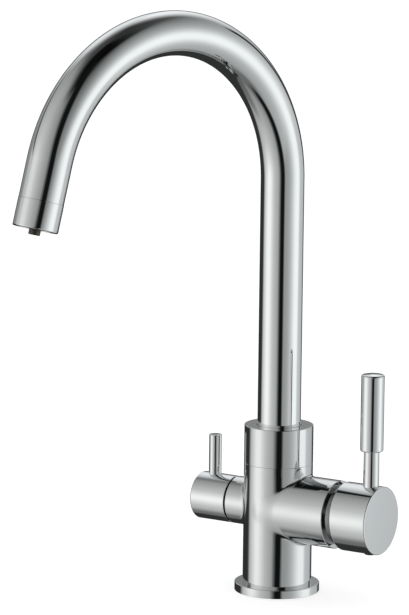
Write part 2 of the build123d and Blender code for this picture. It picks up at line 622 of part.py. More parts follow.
with BuildPart() as cartridge_carrier:
    turned(mixer_plane, carrier_face, carrier_face + CARRIER_DISC, housing_bore - FREE_GAP)
    turned(mixer_plane, carrier_face + CARRIER_DISC, carrier_end, CARRIER_NECK_RADIUS)
    with BuildSketch(mixer_plane.offset(carrier_face)) as guide:
        Rectangle(DRIVER_TONGUE + 2 * FREE_GAP, 2 * housing_bore)
    extrude(guide.sketch, amount=CARRIER_GROOVE, mode=Mode.SUBTRACT)
    with BuildSketch(mixer_plane.offset(groove_floor)) as slot:
        Rectangle(LEVER_WIDTH + 2 * FREE_GAP, 2 * SLOT_HALF_HEIGHT)
    extrude(slot.sketch, amount=carrier_end - groove_floor, mode=Mode.SUBTRACT)
    bored(pivot_plane, -CARRIER_NECK_RADIUS, CARRIER_NECK_RADIUS, PIVOT_PIN_RADIUS + FIT_GAP)
    ring_groove(mixer_plane, carrier_ring_station, CARRIER_NECK_RADIUS, CARRIER_RING_SECTION)
save(cartridge_carrier, "cartridge_carrier")

with BuildPart() as carrier_o_ring:
    rubber_ring(mixer_plane, carrier_ring_station, CARRIER_NECK_RADIUS, CARRIER_RING_SECTION)
save(carrier_o_ring, "carrier_o_ring")

with BuildPart() as lever_pivot_pin:
    turned(pivot_plane, -pin_half, pin_half, PIVOT_PIN_RADIUS)
save(lever_pivot_pin, "lever_pivot_pin")

with BuildPart() as cartridge_nut:
    turned(mixer_plane, nut_face, dome_seat + NUT_STAND, nut_radius,
           CARRIER_NECK_RADIUS + 2 * FREE_GAP)
    with BuildSketch(mixer_plane.offset(dome_seat)) as nut_slots:
        with PolarLocations(nut_radius, 6):
            Rectangle(NUT_SLOT, NUT_SLOT)
    extrude(nut_slots.sketch, amount=NUT_STAND, mode=Mode.SUBTRACT)
save(cartridge_nut, "cartridge_nut")


def dome_edge(radius):
    """Radius of the dome's mouth on a sphere about the pivot."""
    return sqrt(radius ** 2 - DOME_REACH ** 2)


dome_inner = dome_radius - DOME_WALL

with BuildPart() as cartridge_dome:
    with BuildSketch(pivot_plane) as dome_profile:
        with BuildLine():
            Line((-DOME_SKIRT, dome_inner), (-DOME_SKIRT, dome_radius))
            Line((-DOME_SKIRT, dome_radius), (0, dome_radius))
            RadiusArc((0, dome_radius), (DOME_REACH, dome_edge(dome_radius)), dome_radius)
            Line((DOME_REACH, dome_edge(dome_radius)), (DOME_REACH, dome_edge(dome_inner)))
            RadiusArc((DOME_REACH, dome_edge(dome_inner)), (0, dome_inner), -dome_inner)
            Line((0, dome_inner), (-DOME_SKIRT, dome_inner))
        make_face()
    revolve(dome_profile.sketch, axis=Axis((pivot, 0, ARM_HEIGHT), (1, 0, 0)))
save(cartridge_dome, "cartridge_dome")

# ---- Inner lever, knob and outer lever of the mixer ----

spindle_start = carrier_end + SPINDLE_RELIEF
spindle_end = knob_floor + KNOB_SOCKET

with BuildPart() as cartridge_lever:
    with Locations((ball_station, 0, ARM_HEIGHT)):
        Sphere(BALL_RADIUS)
    turned(mixer_plane, ball_station, pivot, INNER_ROD_RADIUS)
    turned(pivot_plane, -LEVER_WIDTH / 2, LEVER_WIDTH / 2, LEVER_HUB_RADIUS)
    with BuildSketch(mixer_plane.offset(pivot)) as lever_flats:
        Rectangle(LEVER_WIDTH, LEVER_HEIGHT)
    extrude(lever_flats.sketch, amount=spindle_start - pivot)
    turned(mixer_plane, spindle_start, spindle_end, SPINDLE_RADIUS)
    bored(pivot_plane, -LEVER_WIDTH / 2, LEVER_WIDTH / 2, PIVOT_PIN_RADIUS + RUNNING_GAP)
save(cartridge_lever, "cartridge_lever")

stem_seat_height = mixer_radius - STEM_SEAT
thread_floor = stem_seat_height - STEM_THREAD_LENGTH
rim_plane = Plane(
    origin=(knob_rim, 0, ARM_HEIGHT),
    x_dir=(0, 1, 0),
    z_dir=(cos(radians(KNOB_RIM_LEAN)), 0, sin(radians(KNOB_RIM_LEAN))),
)

with BuildPart() as mixer_knob:
    turned(mixer_plane, mixer_arm_end, knob_end, mixer_radius)
    split(bisect_by=rim_plane, keep=Keep.TOP)
    chamfer(mixer_knob.edges().group_by(Axis.X)[-1], EDGE_BREAK)
    bored(mixer_plane, mixer_arm_end, knob_floor, knob_bore)
    bored(mixer_plane, knob_floor, spindle_end + FREE_GAP, SPINDLE_RADIUS + FIT_GAP)
    bored(lever_plane, stem_seat_height, mixer_radius, STEM_FOOT_RADIUS + FIT_GAP)
    bored(lever_plane, thread_floor - FREE_GAP, stem_seat_height, STEM_THREAD_RADIUS + FIT_GAP)
    bored(lever_plane, -mixer_radius, 0, GRUB_RADIUS + FIT_GAP)
    bored(lever_plane, -mixer_radius, -mixer_radius + SCREW_PLUG_LENGTH,
          SCREW_PLUG_RADIUS + FIT_GAP)
save(mixer_knob, "mixer_knob")

grub_top = -SPINDLE_RADIUS - FIT_GAP

with BuildPart() as knob_grub_screw:
    turned(lever_plane, grub_top - GRUB_LENGTH, grub_top, GRUB_RADIUS)
    with BuildSketch(lever_plane.offset(grub_top - GRUB_LENGTH)) as grub_key:
        RegularPolygon(GRUB_HEX / 2, 6, major_radius=False)
    extrude(grub_key.sketch, amount=GRUB_HEX_DEPTH, mode=Mode.SUBTRACT)
save(knob_grub_screw, "knob_grub_screw")

with BuildPart() as knob_screw_plug:
    turned(lever_plane, -mixer_radius - SCREW_PLUG_PROUD, -mixer_radius + SCREW_PLUG_LENGTH,
           SCREW_PLUG_RADIUS)
    chamfer(knob_screw_plug.edges().group_by(Axis.Z)[0], EDGE_BREAK / 2)
save(knob_screw_plug, "knob_screw_plug")

stem_top = mixer_radius + STEM_HEIGHT

with BuildPart() as mixer_lever_stem:
    with Locations(lever_plane.offset(stem_seat_height)):
        Cone(STEM_FOOT_RADIUS, STEM_TOP_RADIUS, stem_top - stem_seat_height,
             align=(Align.CENTER, Align.CENTER, Align.MIN))
    turned(lever_plane, thread_floor, stem_seat_height, STEM_THREAD_RADIUS)
    turned(lever_plane, stem_top, stem_top + GRIP_SOCKET, STEM_THREAD_RADIUS)
save(mixer_lever_stem, "mixer_lever_stem")

with BuildPart() as mixer_lever_grip:
    with BuildSketch(Plane(origin=lever_plane.origin, x_dir=(1, 0, 0), z_dir=(0, -1, 0))) as half:
        with BuildLine():
            grip_top = stem_top + GRIP_LENGTH
            Line((0, stem_top), (GRIP_RADIUS, stem_top))
            Line((GRIP_RADIUS, stem_top), (GRIP_RADIUS, grip_top - GRIP_DOME))
            ThreePointArc((GRIP_RADIUS, grip_top - GRIP_DOME),
                          (GRIP_RADIUS / 2, grip_top - GRIP_DOME / 4), (0, grip_top))
            Line((0, grip_top), (0, stem_top))
        make_face()
    revolve(half.sketch, axis=Axis(lever_plane.origin, (0, 0, 1)))
    grip_rims = mixer_lever_grip.edges().filter_by(lambda edge: edge.is_closed).sort_by(Axis.Z)
    fillet(grip_rims[-1], GRIP_TOP_ROUND)
    fillet(grip_rims[0], GRIP_FOOT_ROUND)
    bored(lever_plane, stem_top, stem_top + GRIP_SOCKET + FREE_GAP, STEM_THREAD_RADIUS + FIT_GAP)
save(mixer_lever_grip, "mixer_lever_grip")

# ---- Filter valve ----

seat_seal_inner = FILTER_DISC_RADIUS - FREE_GAP - SEAT_SEAL_WIDTH
window_start = filter_moving_face

with BuildPart() as filter_valve_body:
    turned(filter_plane, FILTER_SEAT + FREE_GAP, nose_end, nose_radius)
    turned(filter_plane, nose_end, filter_arm_end, valve_radius)
    turned(filter_plane, filter_arm_end, valve_neck_end, VALVE_NECK_RADIUS)
    bored(filter_plane, FILTER_SEAT, disc_chamber_end, FILTER_DISC_RADIUS + FIT_GAP)
    bored(filter_plane, disc_chamber_end, valve_neck_end, FILTER_SPINDLE_RADIUS + RUNNING_GAP)
    with BuildSketch(filter_plane.offset(window_start)) as windows:
        Rectangle(WINDOW_WIDTH, 2 * nose_radius)
    extrude(windows.sketch, amount=WINDOW_LENGTH, mode=Mode.SUBTRACT)
save(filter_valve_body, "filter_valve_body")

with BuildPart() as filter_seat_seal:
    turned(filter_plane, FILTER_SEAT, filter_disc_face, FILTER_DISC_RADIUS - FREE_GAP,
           seat_seal_inner)
save(filter_seat_seal, "filter_seat_seal")

with BuildPart() as filter_fixed_disc:
    turned(filter_plane, filter_disc_face, filter_disc_face + FILTER_DISC_THICKNESS,
           FILTER_DISC_RADIUS)
    with BuildSketch(filter_plane.offset(filter_disc_face)) as filter_ways:
        with Locations((0, FILTER_SLOT_OFFSET), (0, -FILTER_SLOT_OFFSET)):
            Circle(FILTER_SLOT_RADIUS)
    extrude(filter_ways.sketch, amount=FILTER_DISC_THICKNESS, mode=Mode.SUBTRACT)
save(filter_fixed_disc, "filter_fixed_disc")

with BuildPart() as filter_moving_disc:
    turned(filter_plane, filter_moving_face, fork_face, FILTER_DISC_RADIUS - FREE_GAP)
    with BuildSketch(filter_plane.offset(filter_moving_face)) as moving_ways:
        with Locations((FILTER_SLOT_OFFSET, 0), (-FILTER_SLOT_OFFSET, 0)):
            Circle(FILTER_SLOT_RADIUS)
    extrude(moving_ways.sketch, amount=FILTER_DISC_THICKNESS, mode=Mode.SUBTRACT)
    with BuildSketch(filter_plane.offset(fork_face)) as fork_slot:
        Rectangle(FORK_WIDTH + 2 * FIT_GAP, 2 * FILTER_DISC_RADIUS)
    extrude(fork_slot.sketch, amount=-FORK_DEPTH, mode=Mode.SUBTRACT)
save(filter_moving_disc, "filter_moving_disc")

spindle_tip = filter_knob_floor + FILTER_SOCKET - FREE_GAP
fork_length = 2 * sqrt((FILTER_DISC_RADIUS - FREE_GAP) ** 2 - (FORK_WIDTH / 2) ** 2)
spindle_rings = [disc_chamber_end + SPINDLE_RING_SPACING,
                 disc_chamber_end + 2 * SPINDLE_RING_SPACING]

with BuildPart() as filter_spindle:
    with BuildSketch(filter_plane.offset(fork_face)) as fork:
        Rectangle(FORK_WIDTH, fork_length)
    extrude(fork.sketch, amount=-FORK_DEPTH)
    turned(filter_plane, fork_face, fork_face + FORK_FLANGE, FILTER_DISC_RADIUS - FREE_GAP)
    turned(filter_plane, fork_face + FORK_FLANGE, spindle_tip, FILTER_SPINDLE_RADIUS)
    for station in spindle_rings:
        ring_groove(filter_plane, station, FILTER_SPINDLE_RADIUS, SPINDLE_RING_SECTION)
    turned(filter_plane, clip_station, clip_station + CLIP_THICKNESS,
           FILTER_SPINDLE_RADIUS + FREE_GAP, FILTER_SPINDLE_RADIUS - CLIP_GROOVE,
           mode=Mode.SUBTRACT)
save(filter_spindle, "filter_spindle")

with BuildPart() as spindle_o_rings:
    for station in spindle_rings:
        rubber_ring(filter_plane, station, FILTER_SPINDLE_RADIUS, SPINDLE_RING_SECTION)
save(spindle_o_rings, "spindle_o_rings")

clip_inner = FILTER_SPINDLE_RADIUS - CLIP_GROOVE + FIT_GAP

with BuildPart() as spindle_clip:
    turned(filter_plane, clip_station, clip_station + CLIP_THICKNESS, clip_inner + CLIP_WIDTH,
           clip_inner)
    with BuildSketch(filter_plane.offset(clip_station)) as clip_mouth:
        with Locations((0, -clip_inner - CLIP_WIDTH / 2)):
            Rectangle(clip_inner, 2 * CLIP_WIDTH)
    extrude(clip_mouth.sketch, amount=CLIP_THICKNESS, mode=Mode.SUBTRACT)
save(spindle_clip, "spindle_clip")

pin_seat_height = filter_radius - PIN_SEAT
pin_top = filter_radius + PIN_HEIGHT

with BuildPart() as filter_knob:
    turned(filter_plane, filter_knob_rim, filter_knob_end, filter_radius)
    fillet(filter_knob.edges().group_by(Axis.X)[0], FILTER_KNOB_ROUND)
    chamfer(filter_knob.edges().group_by(Axis.X)[-1], RIM_CHAMFER)
    bored(filter_plane, filter_knob_rim, filter_knob_floor, filter_radius - FILTER_KNOB_WALL)
    bored(filter_plane, filter_knob_floor, filter_knob_floor + FILTER_SOCKET,
          FILTER_SPINDLE_RADIUS + FIT_GAP)
    bored(pin_plane, pin_seat_height, filter_radius, PIN_RADIUS + FIT_GAP)
    bored(pin_plane, 0, pin_seat_height, PIN_THREAD_RADIUS + FIT_GAP)
save(filter_knob, "filter_knob")

with BuildPart() as filter_pin_lever:
    turned(pin_plane, pin_seat_height, pin_top, PIN_RADIUS)
    fillet(filter_pin_lever.edges().group_by(Axis.Z)[-1], PIN_TOP_ROUND)
    turned(pin_plane, FILTER_SPINDLE_RADIUS + FIT_GAP, pin_seat_height, PIN_THREAD_RADIUS)
save(filter_pin_lever, "filter_pin_lever")
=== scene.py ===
import json
from math import cos, hypot, pi, radians, sin, tan

import bmesh
import bpy
from bpy.props import FloatProperty, FloatVectorProperty, IntProperty, PointerProperty
from mathutils import Matrix, Vector


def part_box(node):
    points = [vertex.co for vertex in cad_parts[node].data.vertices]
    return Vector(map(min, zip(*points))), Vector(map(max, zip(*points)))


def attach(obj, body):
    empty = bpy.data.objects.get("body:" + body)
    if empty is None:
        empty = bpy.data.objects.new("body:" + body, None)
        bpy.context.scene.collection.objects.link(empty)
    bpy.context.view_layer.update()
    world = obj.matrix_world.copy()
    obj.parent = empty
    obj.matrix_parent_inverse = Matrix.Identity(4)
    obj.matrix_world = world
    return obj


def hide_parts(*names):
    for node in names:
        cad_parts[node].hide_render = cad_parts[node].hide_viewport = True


bl_info = {
    "name": "Three way tap dressing",
    "version": (1, 0, 0),
    "blender": (4, 5, 0),
    "location": "3D View > Sidebar > Tap",
    "description": "Polished outer pieces, finishes and studio for a three way filtered water tap",
    "category": "Object",
}

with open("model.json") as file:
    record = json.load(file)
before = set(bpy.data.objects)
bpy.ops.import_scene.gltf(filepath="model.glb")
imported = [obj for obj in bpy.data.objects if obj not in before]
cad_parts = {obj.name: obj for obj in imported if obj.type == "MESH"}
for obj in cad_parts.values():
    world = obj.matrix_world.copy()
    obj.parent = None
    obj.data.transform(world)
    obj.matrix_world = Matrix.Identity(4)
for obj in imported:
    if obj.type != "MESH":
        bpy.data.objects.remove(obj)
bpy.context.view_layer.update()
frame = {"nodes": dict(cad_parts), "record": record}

# Distances, in metres
SAME_POINT = 1e-7   # points nearer to each other than this are one
ON_RIM = 1e-6       # how far a point may lie from the rim that it belongs to
ON_SKIN = 5e-6      # how far a point may lie from the skin that it belongs to
OVERSHOOT = 0.001   # how far a cutter sticks out of what it cuts


def low(node):
    """Lowest corner of a CAD node's box at rest."""
    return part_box(node)[0]


def high(node):
    """Highest corner of a CAD node's box at rest."""
    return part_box(node)[1]


def middle(node):
    """Middle of a CAD node's box at rest."""
    return (low(node) + high(node)) / 2


def half(node):
    """Half the width, depth and height of a CAD node's box at rest."""
    return (high(node) - low(node)) / 2


# ---- Sizes, colours and studio values a user may change ----


def length(name, description, default):
    return FloatProperty(name=name, description=description, default=default,
                         unit="LENGTH", subtype="DISTANCE", precision=5)


def angle(name, description, degrees):
    return FloatProperty(name=name, description=description, default=radians(degrees),
                         unit="ROTATION", subtype="ANGLE")


def colour(name, description, default):
    return FloatVectorProperty(name=name, description=description, default=default,
                               size=3, subtype="COLOR", min=0, max=1)


def amount(name, description, default):
    return FloatProperty(name=name, description=description, default=default, min=0, max=100)


def count(name, description, default):
    return IntProperty(name=name, description=description, default=default, min=3)


class TapSizes(bpy.types.PropertyGroup):
    """Sizes of the outer pieces, in metres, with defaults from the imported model."""

    arm_height: length("Arm height", "Height of the axis of both arms", middle("mixer_knob").z)
    edge: length("Edge rounding", "Rounding of the small outer edges", 0.0004)
    rim: length("Rim rounding", "Rounding of the thin rims at the gaps", 0.00025)
    seam: length("Seam rounding", "Rounding at the seam between body and collar", 0.00015)

    flange_bore: length("Flange bore", "Radius of the hole in the flange", 0.01705)
    seal_groove: length("Seal groove", "Inner radius of the groove for the seal", 0.01905)
    flange_lip: length("Flange lip", "Wall outside the groove for the seal", 0.002)

    body_radius: length("Body radius", "Outside of the body and the collar",
                        high("spout_collar").x)
    flow: length("Arm flow", "How softly the arms flow out of the body", 0.0018)
    arm_fade: length("Arm fade", "How the arms fade out past the body's middle", 0.008)
    cut_reach: length("Cut reach", "How far the body's extra cuts go each way", 0.024)
    cuts: count("Cuts", "Extra cuts of the body each way", 20)
    skin_reach: length("Skin reach", "How far off the flowing skin a point is drawn to it", 0.0012)

    collar_wall: length("Collar wall", "Thickness of the collar's side", 0.0032)
    collar_plate: length("Collar plate", "Thickness of the collar's top", 0.0045)
    collar_gap: length("Collar gap", "Gap between the collar and the spout tube", 0.0003)

    tube_radius: length("Tube radius", "Outside of the spout tube", high("spout_tube").x)
    tube_wall: length("Tube wall", "Thickness of the spout tube", 0.001)
    bend_radius: length("Bend radius", "Radius of the spout's bend, to its centre line", 0.0895)
    bend_angle: angle("Bend angle", "Angle that the spout turns through", 164.5)
    spout_turn: angle("Spout turn", "How far the spout is swung towards the filter arm", 15.0)
    tube_end: length("Tube end", "Straight tube between the bend and the outlet sleeve", 0.022)
    spout_end: length("Spout end", "From the bend to the sleeve's mouth", 0.038)

    sleeve_step: length("Sleeve step", "Outlet sleeve beyond the tube", 0.0001)
    sleeve_round: length("Sleeve rounding", "Rounding of the sleeve's mouth", 0.0008)
    sleeve_lip: length("Sleeve lip", "How far the sleeve's mouth reaches inwards", 0.0014)
    lip_height: length("Lip height", "Thickness of the sleeve's lip", 0.001)
    nozzle_radius: length("Nozzle radius", "Outside of the filtered water nozzle", 0.0033)
    nozzle_bore: length("Nozzle bore", "Radius of the hole through the nozzle", 0.0012)
    nozzle_proud: length("Nozzle proud", "How far the nozzle stands out of the sleeve", 0.003)
    nozzle_depth: length("Nozzle depth", "How far the nozzle reaches into the sleeve", 0.0065)
    tail_radius: length("Tail radius", "Outside of the nozzle's thin tail", 0.00195)
    tail_length: length("Tail length", "Length of the nozzle's thin tail", 0.008)

    dome_skirt: length("Dome skirt", "Straight part of the cartridge dome", 0.0035)
    dome_wall: length("Dome wall", "Thickness of the cartridge dome", 0.0015)

    knob_radius: length("Mixer knob radius", "Outside of the mixer knob", half("mixer_knob").z)
    knob_round: length("Knob rounding", "Rounding of the mixer knob's end", 0.0006)
    knob_rim: length("Knob rim rounding", "Rounding of the mixer knob's rim at the gap", 0.0007)
    knob_lean: angle("Knob rim lean", "Slant of the knob's rim, where it tips in", 2.7)
    knob_wall: length("Knob wall", "Thickness of the knobs' sides", 0.002)
    knob_depth: length("Mixer knob depth", "Depth of the hollow in the mixer knob", 0.0112)
    plug_radius: length("Screw plug hole", "Radius of the hole under the mixer knob", 0.00305)

    lever_depth: length("Lever depth", "How deep a lever's foot sits in its knob", 0.0015)
    stem_foot: length("Stem foot", "Radius of the mixer lever's stem at the knob", 0.00465)
    stem_top: length("Stem top", "Radius of the mixer lever's stem at the grip", 0.00445)
    grip_crown: length("Grip crown", "How far the top of the grip bulges", 0.0007)
    grip_foot: length("Grip foot rounding", "Rounding of the grip's lower rim", 0.0011)
    grip_top: length("Grip top rounding", "Rounding of the grip's upper rim", 0.0009)

    filter_radius: length("Filter knob radius", "Outside of the filter arm and its knob",
                          half("filter_knob").z)
    filter_round: length("Filter knob rounding", "Rounding of the filter knob's end", 0.0012)
    filter_depth: length("Filter knob depth", "Depth of the hollow in the filter knob", 0.01)

    steps: count("Steps", "Sides of the large round pieces", 128)
    knob_steps: count("Knob steps", "Sides of the mixer knob", 256)
    medium_steps: count("Medium steps", "Sides of the tube, the levers and the plug's hole", 96)
    small_steps: count("Small steps", "Sides of the nozzle and the screw plug", 64)
    bend_steps: count("Bend steps", "Rings along the spout's bend", 120)


class TapFinish(bpy.types.PropertyGroup):
    """Colours of the finishes."""

    chrome: colour("Chrome", "Polished chrome plate", (0.90, 0.905, 0.91))
    cast_chrome: colour("Body chrome", "Chrome plate of the cast body", (0.825, 0.83, 0.835))
    # The cartridge dome's chrome is darkened far below the other chrome: its colour is painted
    # shade in the gap between the arm and the mixer knob.
    dull_chrome: colour("Dull chrome", "Cartridge dome in the gap", (0.3, 0.303, 0.306))
    steel: colour("Steel", "Stainless screws, pins and screen", (0.55, 0.55, 0.54))
    brass: colour("Brass", "Turned brass of the inner pieces", (0.72, 0.53, 0.24))
    bronze: colour("Nozzle", "Dark plated nozzle of the filtered water", (0.11, 0.095, 0.08))
    rubber: colour("Rubber", "Seals and rings", (0.022, 0.022, 0.024))
    ceramic: colour("Ceramic", "Lapped discs", (0.83, 0.82, 0.78))
    white_plastic: colour("White plastic", "Aerator and swivel rings", (0.82, 0.82, 0.80))
    cartridge_plastic: colour("Cartridge", "Moulded cartridge pieces", (0.30, 0.32, 0.35))
    black_plastic: colour("Black plastic", "Disc driver", (0.03, 0.03, 0.032))


class TapStudio(bpy.types.PropertyGroup):
    """Camera and light of the studio."""

    azimuth: angle("Azimuth", "Camera round from straight ahead", 31.557)
    distance: length("Distance", "Camera from the tap's axis, along the floor", 2.15187)
    height: length("Height", "Camera above the floor", 0.53724)
    yaw: angle("Yaw", "Camera turned past the tap's axis", 1.183)
    pitch: angle("Pitch", "Camera tilted down", 9.735)
    roll: angle("Roll", "Camera turned about its line of sight", 0.632)
    focal: FloatProperty(name="Focal length", description="In millimetres on a 36 mm high frame",
                         default=219.22, min=1)
    far: length("Far end", "What lies further from the camera is cut off", 100.0)
    surround: amount("Surround", "Even light of the white room", 0.6)
    floor_radius: length("Floor radius", "How far the floor reaches", 14.0)
    floor_paint: colour("Floor paint", "Colour of the floor", (0.82, 0.82, 0.82))
    floor_glow: amount("Floor glow", "What lifts the floor to white for the camera", 0.6)


# ---- Nodes and finishes ----


def node(tree, kind, sockets=None, **settings):
    """Adds a shader node; socket values are set, and other nodes' outputs are linked."""
    made = tree.nodes.new(kind)
    for key, value in settings.items():
        setattr(made, key, value)
    for key, value in (sockets or {}).items():
        if isinstance(value, bpy.types.NodeSocket):
            tree.links.new(value, made.inputs[key])
        else:
            made.inputs[key].default_value = value
    return made


def shades(tree, source, dark, light):
    """A ramp between two colours over the middle of a 0 to 1 pattern."""
    ramp = node(tree, "ShaderNodeValToRGB", {"Fac": source})
    stops = ramp.color_ramp.elements
    stops[0].position, stops[1].position = 0.35, 0.65
    stops[0].color, stops[1].color = (*dark, 1), (*light, 1)
    return ramp.outputs["Color"]


def spread(tree, source, lowest, highest):
    """Maps a 0 to 1 pattern onto a range."""
    return node(tree, "ShaderNodeMapRange", {"Value": source, "To Min": lowest,
                                             "To Max": highest}).outputs["Result"]


CLOUD_SCALE = 55.0  # of the slow change of colour and roughness over a surface


def finish(name, base, metallic, rough, grain, fleck, bump):
    """A finish with cloudy colour, a rough or smooth pattern and fine relief.

    rough is the lowest and highest roughness, grain the scale of the relief, fleck how much
    the colour varies and bump its height.
    """
    material = bpy.data.materials.new(name)
    material.use_nodes = True
    tree = material.node_tree
    tree.nodes.clear()
    place = node(tree, "ShaderNodeTexCoord").outputs["Object"]
    cloud = node(tree, "ShaderNodeTexNoise", {"Vector": place, "Scale": CLOUD_SCALE,
                                              "Detail": 4.0})
    fine = node(tree, "ShaderNodeTexNoise", {"Vector": place, "Scale": grain, "Detail": 3.0})
    dark = [max(0.0, c * (1 - fleck)) for c in base]
    light = [min(1.0, c * (1 + fleck)) for c in base]
    relief = node(tree, "ShaderNodeBump", {"Height": fine.outputs["Fac"], "Distance": bump,
                                           "Strength": 1.0})
    shader = node(tree, "ShaderNodeBsdfPrincipled", {
        "Base Color": shades(tree, cloud.outputs["Fac"], dark, light),
        "Metallic": metallic,
        "Roughness": spread(tree, cloud.outputs["Fac"], *rough),
        "Normal": relief.outputs["Normal"],
    })
    out = node(tree, "ShaderNodeOutputMaterial", {"Surface": shader.outputs["BSDF"]})
    out.is_active_output = True
    return material


# Each slot of the record, or look of its own: its colour, how metallic it is, its lowest and
# highest roughness, its grain, its fleck and the height of its relief in metres.
LOOKS = {
    "chrome": ("chrome", 1.0, (0.005, 0.022), 900.0, 0.01, 1e-7),
    "cast_chrome": ("cast_chrome", 1.0, (0.005, 0.022), 900.0, 0.01, 1e-7),
    # The dome's dark colour is painted shade in the gap behind the mixer knob; its higher
    # roughness makes it satin.
    "dull_chrome": ("dull_chrome", 1.0, (0.12, 0.2), 900.0, 0.05, 1e-6),
    "steel": ("steel", 1.0, (0.22, 0.38), 2600.0, 0.06, 4e-6),
    "brass": ("brass", 1.0, (0.2, 0.36), 1900.0, 0.09, 5e-6),
    "nozzle_bronze": ("bronze", 0.8, (0.28, 0.42), 1500.0, 0.2, 4e-6),
    "rubber": ("rubber", 0.0, (0.5, 0.72), 3200.0, 0.25, 1.2e-5),
    "ceramic": ("ceramic", 0.0, (0.12, 0.24), 2400.0, 0.03, 2e-6),
    "white_plastic": ("white_plastic", 0.0, (0.3, 0.46), 1700.0, 0.03, 5e-6),
    "cartridge_plastic": ("cartridge_plastic", 0.0, (0.34, 0.5), 1800.0, 0.08, 7e-6),
    "black_plastic": ("black_plastic", 0.0, (0.3, 0.45), 1700.0, 0.15, 6e-6),
}


def finish_of(look):
    """One of the finishes, made when it is first asked for."""
    made = bpy.data.materials.get("tap_" + look)
    if made is None:
        shade, *rest = LOOKS[look]
        made = finish("tap_" + look, getattr(bpy.context.scene.tap_finish, shade), *rest)
    return made


# ---- Shapes ----


def line_of(origin, along, side):
    """The matrix that stands a shape made about Z on an axis of the tap."""
    z = Vector(along).normalized()
    x = (Vector(side) - z * Vector(side).dot(z)).normalized()
    y = z.cross(x)
    return Matrix.Translation(origin) @ Matrix((x, y, z)).transposed().to_4x4()


def mixer_line(tap):
    """The axis of the mixer arm, outwards, with X up."""
    return line_of((0, 0, tap.arm_height), (1, 0, 0), (0, 0, 1))


def filter_line(tap):
    """The axis of the filter arm, outwards, with X up."""
    return line_of((0, 0, tap.arm_height), (-1, 0, 0), (0, 0, 1))


def spout_line(tap):
    """X runs ahead along the spout, Z up."""
    ahead = (-sin(tap.spout_turn), -cos(tap.spout_turn), 0)
    return line_of((0, 0, 0), (0, 0, 1), ahead)


def bend_start(tap):
    """Height at which the spout's leg ends."""
    return high("spout_tube").z - tap.tube_radius - tap.bend_radius


def outlet_line(tap):
    """From the end of the bend, along the spout's straight end."""
    reach = tap.bend_radius * (1 - cos(tap.bend_angle))
    height = bend_start(tap) + tap.bend_radius * sin(tap.bend_angle)
    local = line_of((reach, 0, height), (sin(tap.bend_angle), 0, cos(tap.bend_angle)), (1, 0, 0))
    return spout_line(tap) @ local


def turned(outline, steps, closed=True):
    """Turns an outline of (radius, height, rounding, segments) about Z and rounds its rims.

    An outline that starts and ends on the axis isn't closed.
    """
    bm = bmesh.new()
    corners = [bm.verts.new((radius, 0, height)) for radius, height, *_ in outline]
    edges = [bm.edges.new(pair) for pair in zip(corners, corners[1:])]
    if closed:
        edges.append(bm.edges.new((corners[-1], corners[0])))
    bmesh.ops.spin(bm, geom=corners + edges, cent=(0, 0, 0), axis=(0, 0, 1), dvec=(0, 0, 0),
                   angle=2 * pi, steps=steps, use_merge=True, use_duplicate=False)
    bmesh.ops.remove_doubles(bm, verts=bm.verts[:], dist=SAME_POINT)
    bmesh.ops.recalc_face_normals(bm, faces=bm.faces[:])
    for radius, height, rounding, segments in outline:
        if rounding:
            rim = [edge for edge in bm.edges if all(
                abs(hypot(v.co.x, v.co.y) - radius) < ON_RIM and abs(v.co.z - height) < ON_RIM
                for v in edge.verts)]
            bmesh.ops.bevel(bm, geom=rim, offset=rounding, offset_type="OFFSET",
                            segments=segments, profile=0.5, affect="EDGES", material=-1)
    return bm


def corners_of(geometry):
    """The vertices among the results of a bmesh operator."""
    return [part for part in geometry if isinstance(part, bmesh.types.BMVert)]


def cut_across(bm, point, direction, **cleared):
    """Cuts a shape along a plane, and clears the side of it that is asked for."""
    bmesh.ops.bisect_plane(bm, geom=bm.verts[:] + bm.edges[:] + bm.faces[:], dist=SAME_POINT,
                           plane_co=point, plane_no=direction, **cleared)


def thickened(bm, wall):
    """Gives an open skin a wall, inwards."""
    bmesh.ops.recalc_face_normals(bm, faces=bm.faces[:])
    bmesh.ops.solidify(bm, geom=bm.faces[:], thickness=wall)
    bmesh.ops.recalc_face_normals(bm, faces=bm.faces[:])


def in_line_with(node):
    """The matrix that moves an upright shape sideways onto a CAD node's own axis."""
    return Matrix.Translation((middle(node).x, 0, 0))


def round_bar(centre, axis, radius):
    """The skin of a round bar.

    It gives how far outside a point lies, the way out, and whether another bar flows in there.
    """
    centre, axis = Vector(centre), Vector(axis)

    def skin(point):
        out = point - centre
        out -= axis * out.dot(axis)
        return out.length - radius, out.normalized(), False

    return skin


def casting_skin(tap):
    """The skin of the upright body and the two arms that flow out of it."""
    body = round_bar((0, 0, 0), (0, 0, 1), tap.body_radius)
    arms = []
    for side, radius in ((1, tap.knob_radius), (-1, tap.filter_radius)):
        arms.append((side, round_bar((0, 0, tap.arm_height), (1, 0, 0), radius)))

    def skin(point):
        off, way, _ = body(point)
        flowing = False
        for side, arm in arms:
            arm_off, arm_way, _ = arm(point)
            beyond = min(point.x * side, 0.0)
            arm_off += beyond * beyond / (2 * tap.arm_fade)
            arm_way = arm_way + Vector((side * beyond / tap.arm_fade, 0, 0))
            share = min(max(0.5 + 0.5 * (arm_off - off) / tap.flow, 0.0), 1.0)
            off = arm_off + (off - arm_off) * share - tap.flow * share * (1 - share)
            way = arm_way.lerp(way, share)
            flowing = flowing or 0 < share < 1
        return off, way.normalized(), flowing

    return skin


NEARLY_ALONG = 0.82  # cosine of the widest angle between a face and the skin that it is on


def aim_normals(mesh, skin):
    """Points the shading normals straight out of the true skin where a corner lies on it.

    The mirror finish shows the facets otherwise.
    """
    normals = [corner.vector.copy() for corner in mesh.corner_normals]
    for number, normal in enumerate(normals):
        off, way, _ = skin(mesh.vertices[mesh.loops[number].vertex_index].co)
        if abs(off) < ON_SKIN and way.dot(normal) > NEARLY_ALONG:
            normals[number] = way
    mesh.normals_split_custom_set(normals)


SHARP = radians(32)  # edges that turn by more than this stay sharp


